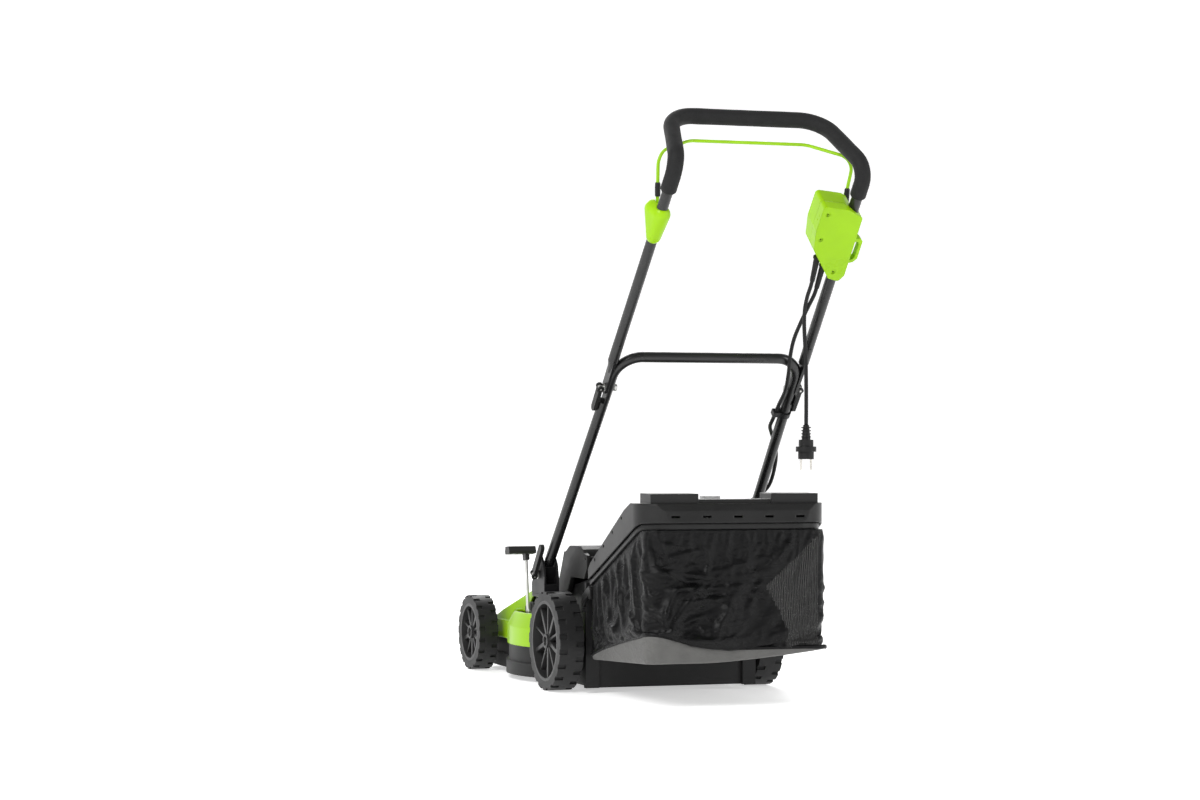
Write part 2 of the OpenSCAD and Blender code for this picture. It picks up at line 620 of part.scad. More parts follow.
// The plastic channel under the lid that grips the fabric, and the arms that hook on
module bag_rim() color([0.05, 0.05, 0.05]) {
    intersection() {
        difference() {
            along_x(-lid_w / 2 + 4, lid_w / 2 - 4) polygon([[-111, 197], [-113, 206.5],
                [-366, 316], [-397, 318], [-397, 308], [-362, 306]]);
            translate([0, 0, -1]) linear_extrude(500) lid_plan(13);
            translate([-200, -109, 190]) cube([400, 10, 30]);
        }
        linear_extrude(500) lid_plan(4);
    }
    // mouth frame
    difference() {
        along_x(-162, 162) polygon([[-112, 70], [-104, 70], [-104, 196.5], [-112, 196.5]]);
        along_x(-152, 152) polygon([[-120, 82], [-100, 82], [-100, 188], [-120, 188]]);
    }
    both_sides() {
        along_x(161, 171) polygon([[-112, 172], [-104, 172], [-104, 196], [-112, 190]]);
        along_x(166.5, 171) polygon([[-112, 190], [-104, 196], [-70, 178], [-66, 160],
            [-74, 156], [-80, 166], [-104, 178], [-112, 172]]);
    }
}

fabric_side = [[-112.2, 68], [-112.2, 196], [-120, 200], [-362, 305.6], [-394, 307],
    [-402.8, 104], [-391, 89], [-150, 69]];

module fabric_plan(inset) {
    w = fabric_w / 2 - inset;
    translate([-w, -380]) square([2 * w, 380]);
    translate([-w + 22, -402 + inset]) square([2 * (w - 22), 60]);
    for (side = [-1, 1]) translate([side * (w - 22), -380 + inset]) circle(22);
}

module bag_fabric() color([0.03, 0.03, 0.03]) difference() {
    intersection() {
        along_x(-fabric_w / 2, fabric_w / 2) polygon(fabric_side);
        linear_extrude(500) fabric_plan(0);
    }
    intersection() {
        along_x(-fabric_w / 2 + fabric_t, fabric_w / 2 - fabric_t) polygon([[-100, 60],
            [-100, 210], [-364, 330], [-391, 330], [-399, 122], [-399, 60]]);
        linear_extrude(500) fabric_plan(fabric_t);
    }
    translate([90, -410, 130]) cube([54, 20, 155]);
}

// The see-through mesh window sewn into the rear wall
module bag_mesh() color([0.2, 0.2, 0.2]) intersection() {
    along_x(90.2, 143.8) polygon([[-394.5, 290], [-401.6, 126], [-400, 126], [-392.9, 290]]);
    translate([90, -410, 130.2]) cube([54, 20, 154.6]);
}

module bag_bottom() color([0.45, 0.45, 0.45]) intersection() {
    along_x(-fabric_w / 2 - 2, fabric_w / 2 + 2) polygon([[-112.2, 64], [-112.2, 67.8],
        [-150, 68.8], [-392, 88.8], [-410, 106], [-412, 101], [-393, 84], [-150, 64]]);
    linear_extrude(500) translate([0, -10]) fabric_plan(-2);
}

module indicator_flap() color([0.5, 0.5, 0.5, 0.7]) difference() {
    union() {
        translate([-42, -336, 353]) cube([38, 26, 2.5]);
        translate([-38, -332, 355.4]) cube([30, 20, 8]);
        pin_x(-42, -4, [-312, 354.5], 2.5);
    }
    translate([-36, -330, 350]) cube([26, 16, 11]);
}

// ---------- handle ----------

top_z = 606;
top_s = (top_z - fold_z) / cos(lean);
lower_pts = [on_handle(-leg_x, 0), on_handle(-leg_at(top_s), top_s),
    on_handle(leg_at(top_s), top_s), on_handle(leg_x, 0)];

module lower_tube() color([0.08, 0.08, 0.08]) difference() {
    union() {
        bent_rod(lower_pts, [47, 47], tube_r);
        both_sides() translate(on_handle(leg_x, 0)) rotate([0, 90, 0])
            sphere(tube_r + 0.05);
    }
    // the tube's bore, with a drain hole under its crossbar
    both_sides() rod(on_handle(leg_at(0), 0), on_handle(leg_at(424), 424),
        tube_r - tube_wall);
    translate([-118, lower_pts[1][1], top_z]) rotate([0, 90, 0])
        cylinder(h = 236, r = tube_r - tube_wall);
    translate([60, lower_pts[1][1], top_z - 20]) cylinder(h = 20, r = 1.5);
    // flats that the upper handle lies against
    both_sides() handle_frame() translate([178.3, 428, -15]) cube([20, 84, 30]);
    // bores for the hinge bolts
    both_sides() {
        pin_x(160, 220, [fold_y, fold_z], pivot_r + run);
        handle_frame() translate([160, mid_s, 0]) rotate([0, 90, 0])
            cylinder(h = 40, r = pivot_r);
    }
}

module mid_bolts() color("silver") both_sides() handle_frame() translate([0, mid_s, 0])
    cam_bolt(160.4, 184.1, 191);

module cable_clip() color([0.05, 0.05, 0.05]) handle_frame() difference() {
    union() {
        translate([leg_at(401), 396, 0]) rotate([-90, 0, 0]) cylinder(h = 10.4, r = 12);
        translate([154.2, 396.1, -6.6]) cube([14, 10.2, 13.2]);
    }
    translate([leg_at(401), 390, 0]) rotate([-90, 0, 0]) cylinder(h = 34, r = 10);
    translate([160.5, 390, 0.3]) rotate([-90, 0, 0]) cylinder(h = 34, r = 4.9);
}

grip_s = (926 - fold_z) / cos(lean);
upper_x = 181.2;
upper_top = on_handle(172.3, grip_s);
grip_corner = [140.3, grip_y, grip_z];
upper_pts = [on_handle(upper_x, 521), upper_top, grip_corner, [-140.3, grip_y, grip_z],
    [-172.3, upper_top[1], upper_top[2]], on_handle(-upper_x, 521)];
upper_bends = [31, 53, 53, 31];
function upper_at(s) = upper_x + (172.3 - upper_x) * (s - 521) / (grip_s - 521);

module upper_tube() color([0.07, 0.07, 0.07]) difference() {
    union() {
        bent_rod(upper_pts, upper_bends, tube_r);
        // flattened ends that lie on the lower handle
        both_sides() handle_frame() {
            translate([178.6, mid_s, 0]) rotate([0, 90, 0]) cylinder(h = 5.2, r = 11);
            translate([178.6, mid_s, -11]) cube([5.2, 64, 22]);
            intersection() {
                translate([upper_x, 496, 0]) rotate([-90, 0, 0])
                    cylinder(h = 27, r1 = 5, r2 = tube_r - 0.3);
                translate([178.6, 490, -11]) cube([20, 40, 22]);
            }
        }
    }
    // bores, each with a drain hole
    both_sides() rod(on_handle(180.8, 540), on_handle(173, 920), tube_r - tube_wall);
    both_sides() handle_frame() translate([180.5, 560, -20]) cylinder(h = 20, r = 1.5);
    translate([-84, grip_y, grip_z]) rotate([0, 90, 0])
        cylinder(h = 168, r = tube_r - tube_wall);
    translate([60, grip_y, grip_z - 20]) cylinder(h = 20, r = 1.5);
    both_sides() handle_frame() translate([160, mid_s, 0]) rotate([0, 90, 0])
        cylinder(h = 40, r = pivot_r + run);
}

foam_s = 894;
foam_pts = [on_handle(173.6, foam_s), upper_top, grip_corner, [-140.3, grip_y, grip_z],
    [-172.3, upper_top[1], upper_top[2]], on_handle(-173.6, foam_s)];

module foam_grip() color([0.03, 0.03, 0.03]) difference() {
    bent_rod(foam_pts, upper_bends, foam_d / 2);
    bent_rod(upper_pts, upper_bends, tube_r + 0.1);
}

// The green clamp that holds the bail's left end
module bail_clamp() color([0.47, 0.8, 0.1]) handle_frame() difference() {
    hull() {
        translate([-176, 800, -2]) sphere(13, $fn = 32);
        translate([-174, 846, -2]) sphere(16, $fn = 32);
        translate([-180, 842, 20]) sphere(16, $fn = 32);
    }
    rod([-upper_at(770), 770, 0], [-upper_at(880), 880, 0], tube_r + 0.2);
    translate([-181, 822, 13.5]) cube([14, 60, 40]);
    translate([-192, 845, 22]) rotate([0, 90, 0]) cylinder(h = 32, r = 3 + run);
}

module box_plan(inset) offset(r = 6) offset(delta = -6 - inset) polygon([[110, 884],
    [158, 878], [188, 862], [191, 735], [183, 722], [162, 728], [118, 788], [110, 830]]);

// One half of the switch box, from out of the handle's front lo to hi
module box_half(lo, hi, floor_z) difference() {
    translate([0, 0, lo]) linear_extrude(hi - lo) box_plan(0);
    translate([0, 0, floor_z]) linear_extrude(hi - lo - 2.6) box_plan(2.6);
    rod([upper_at(690), 690, 0], [upper_at(910), 910, 0], tube_r + 0.2);
    // where the bail comes in, and its hinge
    translate([168.5, 820, 13]) cube([12, 80, 30]);
    translate([160, 845, 22]) rotate([0, 90, 0]) cylinder(h = 40, r = 3 + run);
}

module switch_box_rear() color([0.47, 0.8, 0.1]) difference() {
    handle_frame() difference() {
        box_half(-17, 2, -14.4);
        // screw holes
        for (c = [[122, 866], [124, 812], [168, 742]]) translate([c[0], c[1], -18]) {
            cylinder(h = 2.4, r = 4);
            cylinder(h = 8, r = 1.6);
        }
    }
    boot_rooms();
}

module switch_box_front() color([0.47, 0.8, 0.1]) difference() {
    handle_frame() difference() {
        box_half(2.2, 32, -0.4);
        translate([144, 806, 26]) cylinder(h = 10, r = 9.4);
    }
    boot_rooms();
}

module microswitch() color([0.15, 0.15, 0.15]) handle_frame() difference() {
    translate([126, 796, -10]) cube([30, 22, 26]);
    translate([132, 790, -12]) cube([18, 34, 6]);
}

module start_button() color([0.85, 0.35, 0.05]) handle_frame() {
    translate([144, 806, 20]) cylinder(h = 17, r = 9.1);
    translate([144, 806, 20]) cylinder(h = 4, r = 11.5);
}

// Hook on the outside of the switch box for the cord's loop
module cord_hook() color([0.47, 0.8, 0.1]) handle_frame() translate([0, 0, -10]) {
    linear_extrude(12) polygon([[191.3, 812], [201, 812], [207, 806], [208, 768], [202, 760],
        [191.3, 757], [191.6, 763], [199, 766], [202, 771], [202, 800], [198, 804],
        [191.3, 804]]);
}

boot_ends = [[on_handle(138.4, 761, 2), [143, -383, 740]],
    [on_handle(154.4, 744, 2), [156, -373, 729]]];

// Where the boots leave the switch box
module boot_rooms() for (b = boot_ends)
    rod(b[0] - unit(b[1] - b[0]) * 0.3, b[0] + unit(b[1] - b[0]) * 16, 7.3);

module cable_boots() color([0.04, 0.04, 0.04]) for (b = boot_ends) {
    v = unit(b[1] - b[0]);
    translate(b[0]) rotate([0, acos(v[2]), atan2(v[1], v[0])]) {
        cylinder(h = norm(b[1] - b[0]), r1 = 5.6, r2 = 4.4);
        cylinder(h = 3, r = 7);
    }
}

module mains_cord() color([0.03, 0.03, 0.03]) cable(mains_route, 22);
module motor_cable() color([0.03, 0.03, 0.03]) cable(motor_route, 56);

plug_top = mains_route[len(mains_route) - 1];

module plug_body() color([0.04, 0.04, 0.04]) translate(plug_top) {
    translate([0, 0, -26]) cylinder(h = 26, r1 = 8, r2 = 5.2);
    for (z = [-22:5.5:-4]) translate([0, 0, z]) cylinder(h = 2, r = 8.6);
    translate([0, 0, -38]) cylinder(h = 12.1, r = 13);
    translate([0, 0, -47]) cylinder(h = 9.1, r = 18.2);
    translate([0, 0, -60]) cylinder(h = 13.1, r = 14);
}

pin_gap = 19;

module plug_pins() color("silver") translate(plug_top) for (side = [-1, 1])
    translate([side * pin_gap / 2, 0, -79]) {
        cylinder(h = 18.9, r = 2.4);
    }

bail_low = [174, -456.9, 888.5];
bail_side = [180, -475.2, 947.3];
bail_corner = [108, -432.9, 972.6];

module bail() color([0.47, 0.8, 0.1]) {
    bent_rod([[174, bail_pivot[0], bail_pivot[1]], bail_low, bail_side, bail_corner,
        [-108, -432.9, 972.6], [-180, -475.2, 947.3], [-174, -456.9, 888.5],
        [-174, bail_pivot[0], bail_pivot[1]]], [20, 26, 36, 36, 26, 20], bail_d / 2);
    both_sides() {
        // sleeve at the foot of the rod, and the hinge pin
        rod(bail_low - [0, 0, 14], bail_low + [0, 0, 2], 4.4);
        pin_x(164, 186, bail_pivot, 3);
        pin_x(170.5, 178, bail_pivot, 6);
    }
}

// ---------- assembly ----------

at_origin() deck_housing();
at_origin() deck_cowl();
at_origin() motor_hood();
at_origin() rear_console();
at_origin() handle_bracket_left();
at_origin() handle_bracket_right();
at_origin() fold_bolts();
at_origin() motor_can();
at_origin() motor_stator();
at_origin() motor_bearings();
at_origin() height_rack();
at_origin() deck_screws();
at_origin() motor_cable();
at_origin() height_lever();
at_origin() height_knob();
at_origin() rear_axle();
at_origin() front_axle();
at_origin() link_rod_rear();
at_origin() link_rod_front();
at_origin() wheel_rear_left();
at_origin() wheel_rear_right();
at_origin() wheel_front_left();
at_origin() wheel_front_right();
at_origin() tyre_rear_left();
at_origin() tyre_rear_right();
at_origin() tyre_front_left();
at_origin() tyre_front_right();
at_origin() rear_flap();
at_origin() rotor_shaft();
at_origin() rotor_core();
at_origin() cooling_fan();
at_origin() blade_holder();
at_origin() blade();
at_origin() blade_bolt();
at_origin() bag_lid();
at_origin() bag_rim();
at_origin() bag_fabric();
at_origin() bag_mesh();
at_origin() bag_bottom();
at_origin() indicator_flap();
at_origin() lower_tube();
at_origin() mid_bolts();
at_origin() cable_clip();
at_origin() upper_tube();
at_origin() foam_grip();
at_origin() bail_clamp();
at_origin() switch_box_front();
at_origin() switch_box_rear();
at_origin() microswitch();
at_origin() cord_hook();
at_origin() cable_boots();
at_origin() mains_cord();
at_origin() plug_body();
at_origin() plug_pins();
at_origin() bail();
at_origin() start_button();
at_origin() cam_lever_mid_left();
at_origin() cam_lever_mid_right();
at_origin() cam_lever_low_left();
at_origin() cam_lever_low_right();
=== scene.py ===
"""Corded rotary lawn mower with a folding handle and a rear grass bag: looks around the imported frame."""

import json
import math

import bmesh
import bpy
from mathutils import Matrix, Vector, noise


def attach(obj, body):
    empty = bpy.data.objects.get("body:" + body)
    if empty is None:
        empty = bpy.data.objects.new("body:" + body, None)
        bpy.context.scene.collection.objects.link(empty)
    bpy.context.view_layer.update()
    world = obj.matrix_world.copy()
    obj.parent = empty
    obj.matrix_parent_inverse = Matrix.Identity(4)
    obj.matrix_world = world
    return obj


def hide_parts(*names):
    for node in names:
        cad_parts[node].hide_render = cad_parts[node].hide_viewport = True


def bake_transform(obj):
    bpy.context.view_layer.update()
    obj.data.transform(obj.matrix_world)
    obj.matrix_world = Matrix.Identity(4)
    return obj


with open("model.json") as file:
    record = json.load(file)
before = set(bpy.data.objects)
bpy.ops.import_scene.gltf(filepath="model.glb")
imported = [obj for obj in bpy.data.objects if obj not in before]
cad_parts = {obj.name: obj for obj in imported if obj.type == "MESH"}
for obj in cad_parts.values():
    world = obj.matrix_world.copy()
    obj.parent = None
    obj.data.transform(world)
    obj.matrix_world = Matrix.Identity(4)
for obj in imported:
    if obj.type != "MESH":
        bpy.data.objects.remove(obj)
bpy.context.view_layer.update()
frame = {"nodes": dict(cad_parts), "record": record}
NODES = frame["nodes"]

MID_Y = 0.003725  # from the rear axle to the part's origin


def at(x, y, z):
    """A point given in millimetres from the rear axle, in the row frame."""
    return Vector((x / 1000, y / 1000 - MID_Y, z / 1000))


LEAN = math.radians(41.2)  # the handle's lean from upright


def on_handle(x, s, out=0.0):
    """A point at x, s up the handle's legs, and out of their front, in millimetres."""
    return at(x, 84.5 - s * math.sin(LEAN) + out * math.cos(LEAN), 207 + s * math.cos(LEAN) + out * math.sin(LEAN))


# ---------------------------------------------------------------- camera, floor and light

scene = bpy.context.scene
scene.view_settings.view_transform = "Standard"
YAW, PITCH, ROLL = math.radians(19.52), math.radians(0.18), math.radians(0.27)
forward = Vector((math.sin(YAW) * math.cos(PITCH), math.cos(YAW) * math.cos(PITCH), math.sin(PITCH)))
level = Vector((math.cos(YAW), -math.sin(YAW), 0))
upward = level.cross(forward)
right = level * math.cos(ROLL) + upward * math.sin(ROLL)
up = upward * math.cos(ROLL) - level * math.sin(ROLL)
cam = bpy.data.objects.new("camera", bpy.data.cameras.new("camera"))
scene.collection.objects.link(cam)
turn = Matrix((right, up, -forward)).transposed().to_4x4()
cam.matrix_world = Matrix.Translation(at(-1957.3, -5200.8, 513.6)) @ turn
cam.data.lens = 90
cam.data.sensor_width = 36
cam.data.clip_end = 200
scene.camera = cam


def area_light(name, place, target, size, power, tint=(1, 1, 1)):
    data = bpy.data.lights.new(name, "AREA")
    data.shape = "RECTANGLE"
    data.size, data.size_y = size
    data.energy = power
    data.color = tint
    lamp = bpy.data.objects.new(name, data)
    lamp.location = place
    lamp.rotation_euler = (Vector(target) - Vector(place)).to_track_quat("-Z", "Y").to_euler()
    scene.collection.objects.link(lamp)


area_light("key_light", (-3.2, -2.6, 3.6), (0, 0, 0.4), (2.2, 2.6), 185)
area_light("fill_light", (3.4, -3.0, 2.0), (0, 0, 0.4), (1.6, 2.4), 60)
area_light("rim_light", (0.6, 4.0, 3.0), (0, 0, 0.5), (3.5, 1.6), 110)
world = bpy.data.worlds.new("world")
scene.world = world
world.use_nodes = True
sky = world.node_tree.nodes
place = sky.new("ShaderNodeTexCoord")
height = sky.new("ShaderNodeSeparateXYZ")
fade = sky.new("ShaderNodeMapRange")  # white at the horizon, grey overhead
for socket, value in zip(list(fade.inputs)[1:5], (0.02, 0.3, 0.97, 0.3)):
    socket.default_value = value
for a, b in ((place.outputs["Generated"], height.inputs[0]), (height.outputs["Z"], fade.inputs[0]),
             (fade.outputs[0], sky["Background"].inputs["Color"])):
    world.node_tree.links.new(a, b)

# ---------------------------------------------------------------- materials


class Tree:
    """A short way to write a material's nodes."""

    def __init__(self, name):
        self.mat = bpy.data.materials.new(name)
        self.mat.use_nodes = True
        self.nodes = self.mat.node_tree.nodes
        self.links = self.mat.node_tree.links
        self.shader = self.nodes["Principled BSDF"]
        self.place = self.add("ShaderNodeTexCoord").outputs["Object"]

    def add(self, kind, inputs=(), **settings):
        node = self.nodes.new(kind)
        for key, value in settings.items():
            setattr(node, key, value)
        for key, value in dict(inputs).items():
            if isinstance(value, bpy.types.NodeSocket):
                self.links.new(value, node.inputs[key])
            else:
                node.inputs[key].default_value = value
        return node

    def noise(self, scale, detail=2.0, rough=0.5, where=None):
        return self.add("ShaderNodeTexNoise", {"Vector": where or self.place, "Scale": scale,
                                               "Detail": detail, "Roughness": rough}).outputs["Fac"]

    def spread(self, value, low, high, start=0.0, end=1.0):
        """value, mapped from low..high to start..end and clamped."""
        return self.add("ShaderNodeMapRange", {0: value, 1: low, 2: high, 3: start, 4: end}).outputs[0]

    def math(self, operation, a, b=0.0):
        return self.add("ShaderNodeMath", {0: a, 1: b}, operation=operation).outputs[0]

    def mix(self, fac, a, b):
        return self.add("ShaderNodeMix", {"Factor": fac, 6: a, 7: b}, data_type="RGBA").outputs[2]

    def bump(self, height, strength, distance, normal=None):
        inputs = {"Height": height, "Strength": strength, "Distance": distance}
        if normal is not None:
            inputs["Normal"] = normal
        return self.add("ShaderNodeBump", inputs).outputs["Normal"]

    def edges(self, radius):
        """(rounded normal, how much of an edge a point is on)."""
        bevel = self.add("ShaderNodeBevel", {"Radius": radius}, samples=4).outputs[0]
        true = self.add("ShaderNodeNewGeometry").outputs["True Normal"]
        dot = self.add("ShaderNodeVectorMath", {0: bevel, 1: true}, operation="DOT_PRODUCT").outputs["Value"]
        return bevel, self.spread(dot, 0.995, 0.9)

    def set(self, **inputs):
        for key, value in inputs.items():
            socket = self.shader.inputs[key.replace("_", " ")]
            if isinstance(value, bpy.types.NodeSocket):
                self.links.new(value, socket)
            else:
                socket.default_value = value
        return self


def shade(colour, factor):
    return tuple(min(1.0, c * factor) for c in colour[:3]) + (1.0,)


def plastic(name, colour, rough, grain=1100, depth=0.00005, wear=1.35, radius=0.0012, metallic=0.0, coat=0.0,
            spread_by=0.12, shine=0.26):
    """Moulded or painted surface: fine grain, faint patches, rounded and slightly rubbed edges."""
    t = Tree(name)
    patch = t.noise(14, 4, 0.6)
    fine = t.noise(grain, 2)
    normal, edge = t.edges(radius)
    base = t.mix(t.spread(patch, 0.3, 0.7), shade(colour, 1 - spread_by), shade(colour, 1 + spread_by))
    rub = t.math("MULTIPLY", edge, t.spread(t.noise(160, 3), 0.35, 0.65))
    base = t.mix(t.math("MULTIPLY", rub, 0.55), base, shade(colour, wear))
    roughness = t.math("ADD", t.spread(patch, 0.25, 0.75, rough - 0.05, rough + 0.07),
                       t.math("MULTIPLY", rub, -0.08))
    t.set(Base_Color=base, Roughness=roughness, Metallic=metallic, Normal=t.bump(fine, 0.5, depth, normal),
          Specular_IOR_Level=shine)
    if coat:
        t.set(Coat_Weight=coat, Coat_Roughness=0.12)
    return t.mat


def metal(name, colour, rough, streak=(1, 1, 1)):
    """Plated or ground steel with fine brushing and dull patches."""
    t = Tree(name)
    where = t.add("ShaderNodeMapping", {"Vector": t.place, "Scale": streak}).outputs[0]
    lines = t.noise(420, 3, 0.6, where)
    patch = t.noise(38, 3)
    normal, edge = t.edges(0.0006)
    base = t.mix(t.spread(patch, 0.3, 0.7), shade(colour, 0.78), shade(colour, 1.12))
    t.set(Base_Color=base, Metallic=1.0, Roughness=t.spread(lines, 0.3, 0.7, rough - 0.06, rough + 0.12),
          Normal=t.bump(lines, 0.25, 0.00004, normal))
    return t.mat


def cloth(name, colour, cell, rough=0.75, sheen=0.25, depth=0.00025, contrast=0.3, shine=0.5):
    """Plain weave of two crossing yarns, with soft lighter patches placed at random: a painted sheen standing in for
    creased cloth catching the light.
    """
    t = Tree(name)
    xyz = t.add("ShaderNodeSeparateXYZ", {0: t.place}).outputs
    turns = 2 * math.pi / cell
    along = t.math("SINE", t.math("MULTIPLY", t.math("ADD", xyz[0], xyz[1]), turns))
    across = t.math("SINE", t.math("MULTIPLY", xyz[2], turns))
    weave = t.spread(t.math("MULTIPLY", along, across), -1, 1)
    patch = t.noise(22, 5, 0.6)
    base = t.mix(t.math("MULTIPLY", weave, contrast), shade(colour, 0.8), shade(colour, 1.8))
    # painted sheen: random noise patches lightened up to 1.7 times the cloth's colour
    base = t.mix(t.spread(patch, 0.35, 0.75, 0, 0.35), base, shade(colour, 1.7))
    slanted = t.add("ShaderNodeMapping", {"Vector": t.place, "Rotation": (0.3, 0.4, 0.2), "Scale": (1, 1, 2.2)}).outputs[0]
    off_middle = t.math("ABSOLUTE", t.math("SUBTRACT", t.noise(19, 3, 0.5, slanted), 0.5))
    folds = t.bump(t.spread(off_middle, 0.0, 0.07, 1, 0), 0.5, 0.0012, t.bump(t.noise(60, 4, 0.55), 0.3, 0.0012))
    t.set(Base_Color=base, Roughness=t.spread(patch, 0.3, 0.7, rough - 0.12, rough + 0.08),
          Normal=t.bump(weave, 0.5, depth, folds), Sheen_Weight=sheen, Sheen_Roughness=0.4, Specular_IOR_Level=shine)
    return t.mat


BLACK = (0.010, 0.010, 0.0105)
DARK = (0.010, 0.010, 0.0102)
GREEN = (0.275, 0.515, 0.003)

materials = {
    "housing_plastic": plastic("housing_plastic", DARK, 0.5),
    "cowl_green": plastic("cowl_green", GREEN, 0.3, grain=700, depth=0.00002, wear=1.25, radius=0.004,
                          coat=0.06, spread_by=0.05, shine=0.22),
    "hood_plastic": plastic("hood_plastic", (0.014, 0.014, 0.0138), 0.42, radius=0.004),
    "bracket_plastic": plastic("bracket_plastic", BLACK, 0.42),
    "zinc_steel": metal("zinc_steel", (0.62, 0.62, 0.6), 0.34),
    "motor_steel": plastic("motor_steel", (0.2, 0.2, 0.21), 0.4, metallic=0.6),
    "copper_winding": metal("copper_winding", (0.7, 0.34, 0.16), 0.4, (1, 1, 8)),
    "cable_rubber": plastic("cable_rubber", (0.007, 0.007, 0.0075), 0.5, grain=2200, depth=0.00003),
    "knob_plastic": plastic("knob_plastic", (0.018, 0.018, 0.018), 0.42),
    "wheel_plastic": plastic("wheel_plastic", (0.026, 0.026, 0.026), 0.44, radius=0.0016, wear=2.4, shine=0.4),
    "tyre_plastic": plastic("tyre_plastic", (0.015, 0.015, 0.0152), 0.5, radius=0.0016, wear=3.2),
    "flap_plastic": plastic("flap_plastic", BLACK, 0.46),
    "fan_plastic": plastic("fan_plastic", (0.06, 0.06, 0.06), 0.5),
    "holder_plastic": plastic("holder_plastic", (0.07, 0.07, 0.07), 0.6),
    "blade_steel": metal("blade_steel", (0.38, 0.38, 0.39), 0.42, (0.1, 1, 1)),
    "lid_plastic": plastic("lid_plastic", (0.009, 0.009, 0.009), 0.34, radius=0.004, wear=2.0, shine=0.32),
    "bag_nylon": cloth("bag_nylon", (0.0014, 0.0014, 0.0016), 0.0011, rough=0.35, sheen=0.005, shine=0.17),
    "bottom_panel": cloth("bottom_panel", (0.1, 0.099, 0.095), 0.0016, rough=0.6, sheen=0.05, contrast=0.1, shine=0.3),
    "tube_paint": plastic("tube_paint", (0.008, 0.008, 0.0082), 0.27, grain=1500, depth=0.00002, shine=0.5),
    "clip_plastic": plastic("clip_plastic", BLACK, 0.4),
    "green_plastic": plastic("green_plastic", GREEN, 0.3, grain=900, depth=0.00002, wear=1.25, radius=0.003,
                             coat=0.04, spread_by=0.05, shine=0.2),
    "switch_plastic": plastic("switch_plastic", (0.025, 0.025, 0.025), 0.4),
    "plug_rubber": plastic("plug_rubber", (0.008, 0.008, 0.0082), 0.4, radius=0.001, wear=2.0),
    "pin_nickel": metal("pin_nickel", (0.78, 0.76, 0.72), 0.2),
    "bail_paint": plastic("bail_paint", (0.27, 0.52, 0.005), 0.3, grain=1600, depth=0.00002, coat=0.1),
    "button_plastic": plastic("button_plastic", (0.6, 0.08, 0.01), 0.3),
    "lever_plastic": plastic("lever_plastic", (0.011, 0.011, 0.011), 0.38, wear=2.0),
}


def foam_material():
    """Closed-cell foam: matte, with small pits painted darker as shade, and a skin that is a little smoother."""
    t = Tree("foam")
    cells = t.add("ShaderNodeTexVoronoi", {"Vector": t.place, "Scale": 900.0}).outputs["Distance"]
    patch = t.noise(60, 4, 0.6)
    # painted shade: the colour darkens towards each cell's centre, where the bump below sinks the pit
    base = t.mix(t.spread(cells, 0.0, 0.5), shade((0.007, 0.007, 0.0072), 0.6), shade((0.007, 0.007, 0.0072), 1.9))
    t.set(Base_Color=base, Roughness=t.spread(patch, 0.3, 0.7, 0.62, 0.78),
          Normal=t.bump(cells, 0.4, 0.00015, t.bump(patch, 0.3, 0.0006)), Sheen_Weight=0.03, Sheen_Roughness=0.5, Specular_IOR_Level=0.2)
    return t.mat


def net_material():
    """See-through net of fine upright threads crossed by thinner ones."""
    t = Tree("bag_mesh_cloth")
    xyz = t.add("ShaderNodeSeparateXYZ", {0: t.place}).outputs
    weft = t.math("SINE", t.math("MULTIPLY", t.math("ADD", xyz[0], t.math("MULTIPLY", t.noise(30, 2), 0.002)),
                                 2 * math.pi / 0.0031))
    warp = t.math("SINE", t.math("MULTIPLY", xyz[2], 2 * math.pi / 0.0026))
    threads = t.math("MAXIMUM", t.spread(weft, 0.1, 0.35), t.spread(warp, 0.6, 0.85))
    t.set(Base_Color=t.mix(t.spread(weft, -1, 1), (0.004, 0.004, 0.004, 1), (0.03, 0.03, 0.029, 1)),
          Roughness=t.spread(t.noise(50, 3), 0.3, 0.7, 0.5, 0.7), Normal=t.bump(weft, 0.5, 0.0004),
          Alpha=t.spread(threads, 0, 1, 0.12, 1.0))
    return t.mat


def smoke_material():
    """Frosted clear plastic with faint flow marks."""
    t = Tree("smoke_plastic")
    marks = t.noise(120, 4)
    normal, _ = t.edges(0.0015)
    t.set(Base_Color=t.mix(marks, (0.5, 0.5, 0.5, 1), (0.72, 0.72, 0.71, 1)), Transmission_Weight=0.55,
          Roughness=t.spread(marks, 0.3, 0.7, 0.28, 0.4), Normal=t.bump(marks, 0.2, 0.0003, normal))
    return t.mat


materials["foam"] = foam_material()
materials["bag_mesh_cloth"] = net_material()
materials["smoke_plastic"] = smoke_material()

for part in frame["record"]["subparts"]:
    node = NODES[part["node"]]
    node.data.materials.clear()
    node.data.materials.append(materials[part["material_slot"]])

# ---------------------------------------------------------------- floor


def floor_material():
    t = Tree("studio_floor")
    speck = t.noise(8, 3)
    t.set(Base_Color=t.mix(speck, (0.9, 0.9, 0.9, 1), (0.94, 0.94, 0.94, 1)),
          Roughness=t.spread(speck, 0.3, 0.7, 0.55, 0.65), Emission_Color=(1, 1, 1, 1), Emission_Strength=0.5)
    return t.mat


floor_mesh = bpy.data.meshes.new("floor")
profile = [(-9, 0), (9, 0)] + [(9 + 6 * math.sin(a), 6 - 6 * math.cos(a))
                               for a in [i * math.pi / 24 for i in range(1, 13)]] + [(15, 30)]
spots = [(x, y, z) for x in (-30, 30) for y, z in profile]
count = len(profile)
floor_mesh.from_pydata(spots, [], [(i, i + 1, count + i + 1, count + i) for i in range(count - 1)])
floor_mesh.materials.append(floor_material())
for face in floor_mesh.polygons:
    face.use_smooth = True
floor = bpy.data.objects.new("floor", floor_mesh)
scene.collection.objects.link(floor)
floor.location.z = -0.0005

# ---------------------------------------------------------------- helpers for meshes


